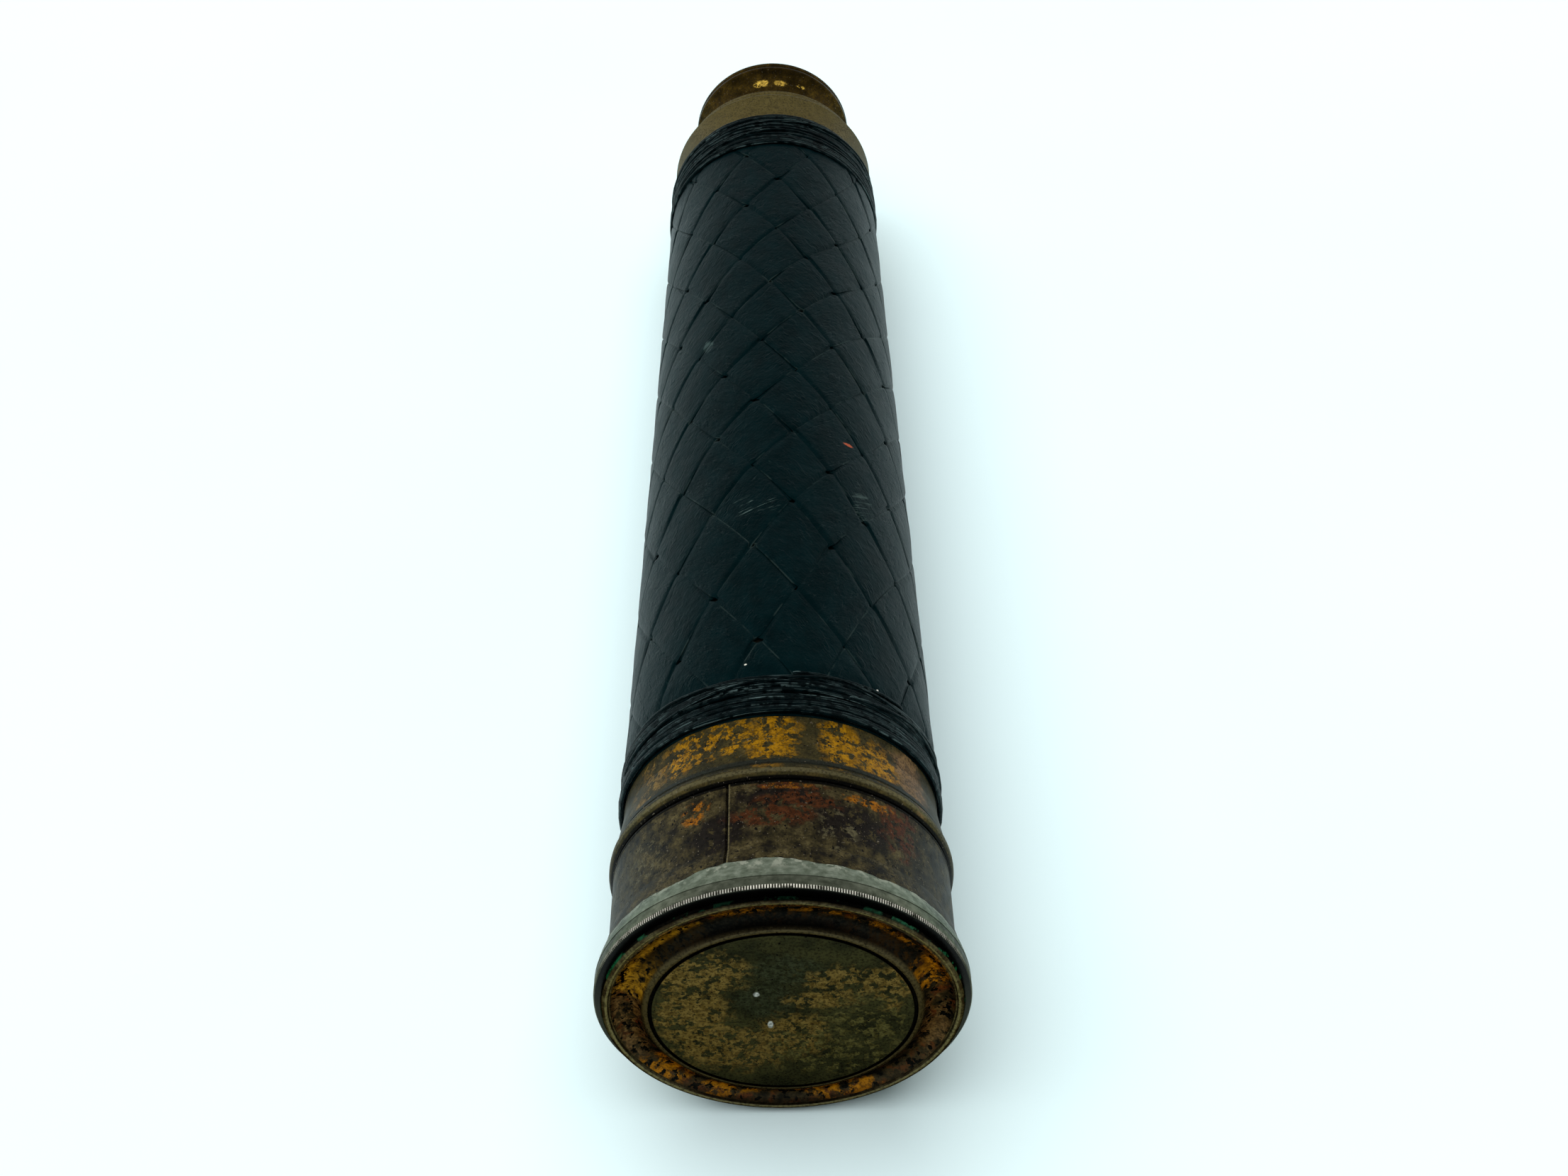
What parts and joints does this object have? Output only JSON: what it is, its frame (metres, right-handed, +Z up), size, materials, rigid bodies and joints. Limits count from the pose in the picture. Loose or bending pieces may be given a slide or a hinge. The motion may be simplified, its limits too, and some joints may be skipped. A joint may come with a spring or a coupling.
{
  "type": "hand telescope",
  "caption": "Closed brass draw-tube hand telescope: tapered barrel in plaited leather with cord whippings, sliding ray shade, dust cap and flared eyepiece.",
  "frame": {"origin": "centre of the dust cap's flat front face, on the optical axis", "axes": "+Y along the optical axis from the dust cap to the eyepiece, +Z up with the telescope on its side"},
  "size_m": [0.0628, 0.2816, 0.0628],
  "materials": {
    "cap_brass": "old tarnished brass, scratched",
    "shade_brass": "rust-brown tarnished sheet brass",
    "ferrule_brass": "olive tarnish with gold patches",
    "draw_brass": "drawn tube, dull",
    "blackened_brass": "matt black lacquer inside",
    "soft_solder": "grey soft solder, uneven",
    "plaited_leather": "black painted, cracked and worn at edges",
    "whipping_cord": "tarred cord, waxy",
    "optical_glass": "polished"
  },
  "bodies": {
    "barrel": {"front_ferrule": "ferrule_brass", "objective_sleeve": "blackened_brass", "objective_cell": "blackened_brass", "crown_lens": "optical_glass", "lens_spacer_ring": "blackened_brass", "flint_lens": "optical_glass", "objective_retaining_ring": "blackened_brass", "barrel_tube": "draw_brass", "plaited_cover": "plaited_leather", "front_whipping": "whipping_cord", "rear_whipping": "whipping_cord", "rear_ferrule": "ferrule_brass", "first_slide_bearing": "draw_brass"},
    "dust_cap": {"cap_disc": "cap_brass", "cap_spigot": "cap_brass"},
    "ray_shade": {"ray_shade_tube": "shade_brass", "shade_bezel": "shade_brass", "shade_solder_fillet": "soft_solder"},
    "first_draw": {"first_draw_tube": "draw_brass", "first_stop_ring": "draw_brass", "first_collar": "draw_brass", "second_slide_bearing": "draw_brass"},
    "second_draw": {"second_draw_tube": "draw_brass", "second_stop_ring": "draw_brass", "second_collar": "draw_brass", "third_slide_bearing": "draw_brass"},
    "third_draw": {"third_draw_tube": "draw_brass", "third_stop_ring": "draw_brass", "erector_cell": "blackened_brass", "front_erector_lens": "optical_glass", "erector_stop": "blackened_brass", "rear_erector_lens": "optical_glass", "erector_retaining_ring": "blackened_brass", "eyepiece_tube": "blackened_brass", "field_lens": "optical_glass", "field_stop": "blackened_brass", "eye_lens": "optical_glass", "eye_lens_ring": "blackened_brass", "eyepiece_bell": "ferrule_brass"}
  },
  "joints": [
    {"name": "shade_slide", "type": "slide", "parent": "barrel", "child": "ray_shade", "axis": [0, -1, 0], "range_m": [0, 0.012]},
    {"name": "cap_pull", "type": "slide", "parent": "ray_shade", "child": "dust_cap", "axis": [0, -1, 0], "range_m": [0, 0.03]},
    {"name": "first_draw_slide", "type": "slide", "parent": "barrel", "child": "first_draw", "axis": [0, 1, 0], "range_m": [0, 0.16]},
    {"name": "second_draw_slide", "type": "slide", "parent": "first_draw", "child": "second_draw", "axis": [0, 1, 0], "range_m": [0, 0.16]},
    {"name": "third_draw_slide", "type": "slide", "parent": "second_draw", "child": "third_draw", "axis": [0, 1, 0], "range_m": [0, 0.16]}
  ]
}
